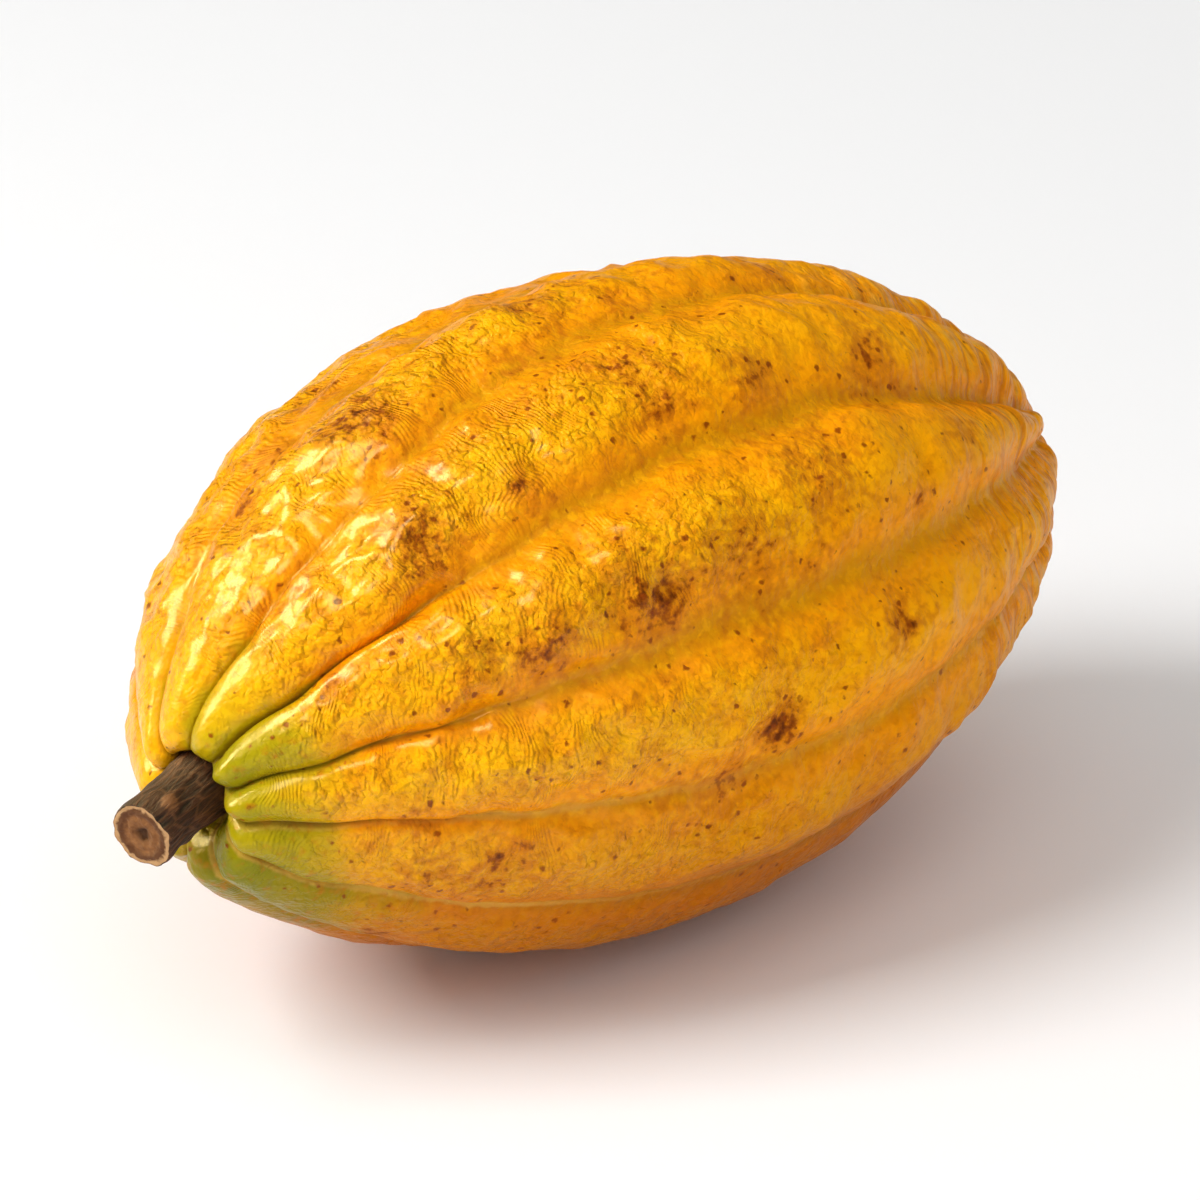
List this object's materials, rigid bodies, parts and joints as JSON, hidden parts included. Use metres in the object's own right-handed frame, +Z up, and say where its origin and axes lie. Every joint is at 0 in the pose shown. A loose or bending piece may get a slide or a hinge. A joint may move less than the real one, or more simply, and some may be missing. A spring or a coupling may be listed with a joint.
{
  "type": "cacao pod",
  "caption": "Ripe yellow cacao pod lying on its side, a ribbed spindle-shaped fruit with a lobed hollow round a short cut woody stalk.",
  "frame": {"origin": "under the middle of the object's box, on the surface that the pod lies on", "axes": "+Z up, +Y along the pod from its stalk end to its tip, +X across it; the pod lies on one rib"},
  "size_m": [0.0958, 0.1786, 0.0944],
  "materials": {
    "husk": "satin",
    "bark": "matte"
  },
  "bodies": {
    "root": {"pod": "husk", "stem": "bark"}
  },
  "joints": []
}
